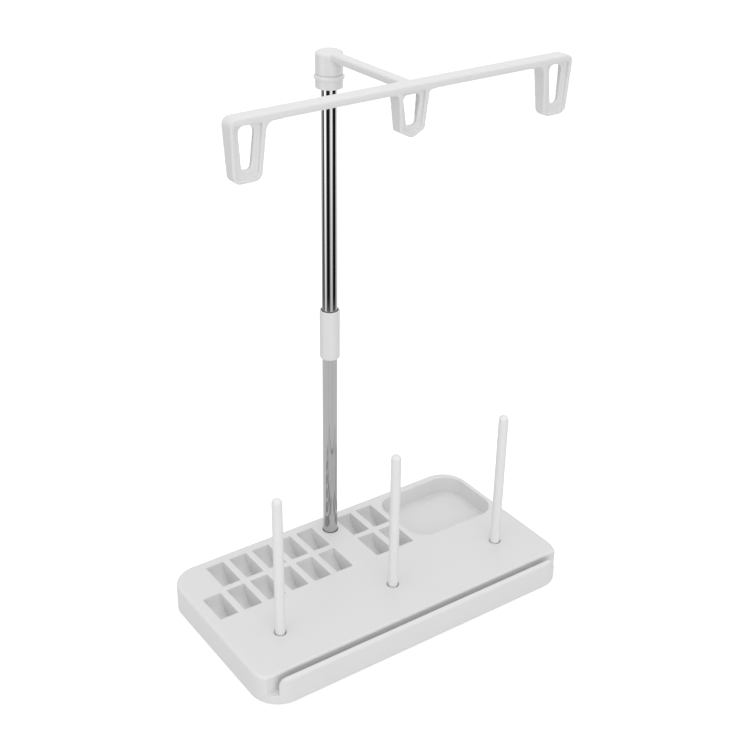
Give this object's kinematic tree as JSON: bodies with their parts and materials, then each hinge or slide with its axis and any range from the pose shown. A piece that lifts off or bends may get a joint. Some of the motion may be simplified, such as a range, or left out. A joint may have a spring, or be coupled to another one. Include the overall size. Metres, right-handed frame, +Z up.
{
  "type": "thread spool stand",
  "caption": "Thread spool stand: moulded base with bobbin pockets, tray, groove and lift-out spool pins, and a plug-in steel pole with a swivelling thread guide.",
  "frame": {"origin": "middle of the base's footprint, on the surface that the stand rests on", "axes": "+X to the right along the base, -Y to the front where the groove is, +Z up along the pole"},
  "size_m": [0.22, 0.1204, 0.3281],
  "materials": {
    "white_plastic": "semi-gloss injection-moulded white plastic",
    "chrome_steel": "bright chrome-plated steel tube",
    "foot_rubber": "matt grey rubber"
  },
  "bodies": {
    "base": {"base": "white_plastic", "foot_front_left": "foot_rubber", "foot_front_right": "foot_rubber", "foot_back_left": "foot_rubber", "foot_back_right": "foot_rubber"},
    "lower_pole": {"lower_tube": "chrome_steel", "coupler": "white_plastic"},
    "upper_pole": {"upper_tube": "chrome_steel", "head_collar": "white_plastic"},
    "guide": {"guide_head": "white_plastic"},
    "pin_left": {"spool_pin_left": "white_plastic"},
    "pin_middle": {"spool_pin_middle": "white_plastic"},
    "pin_right": {"spool_pin_right": "white_plastic"}
  },
  "joints": [
    {"name": "lower_pole_lift", "type": "slide", "parent": "base", "child": "lower_pole", "axis": [0, 0, 1], "range_m": [0, 0.013]},
    {"name": "upper_pole_lift", "type": "slide", "parent": "lower_pole", "child": "upper_pole", "axis": [0, 0, 1], "range_m": [0, 0.0149]},
    {"name": "guide_swivel", "type": "hinge", "parent": "upper_pole", "child": "guide", "pos_m": [0.0012, 0.0456, 0.3156], "axis": [0, 0, 1], "continuous": true},
    {"name": "pin_left_lift", "type": "slide", "parent": "base", "child": "pin_left", "axis": [0, 0, 1], "range_m": [0, 0.012]},
    {"name": "pin_middle_lift", "type": "slide", "parent": "base", "child": "pin_middle", "axis": [0, 0, 1], "range_m": [0, 0.012]},
    {"name": "pin_right_lift", "type": "slide", "parent": "base", "child": "pin_right", "axis": [0, 0, 1], "range_m": [0, 0.012]}
  ]
}
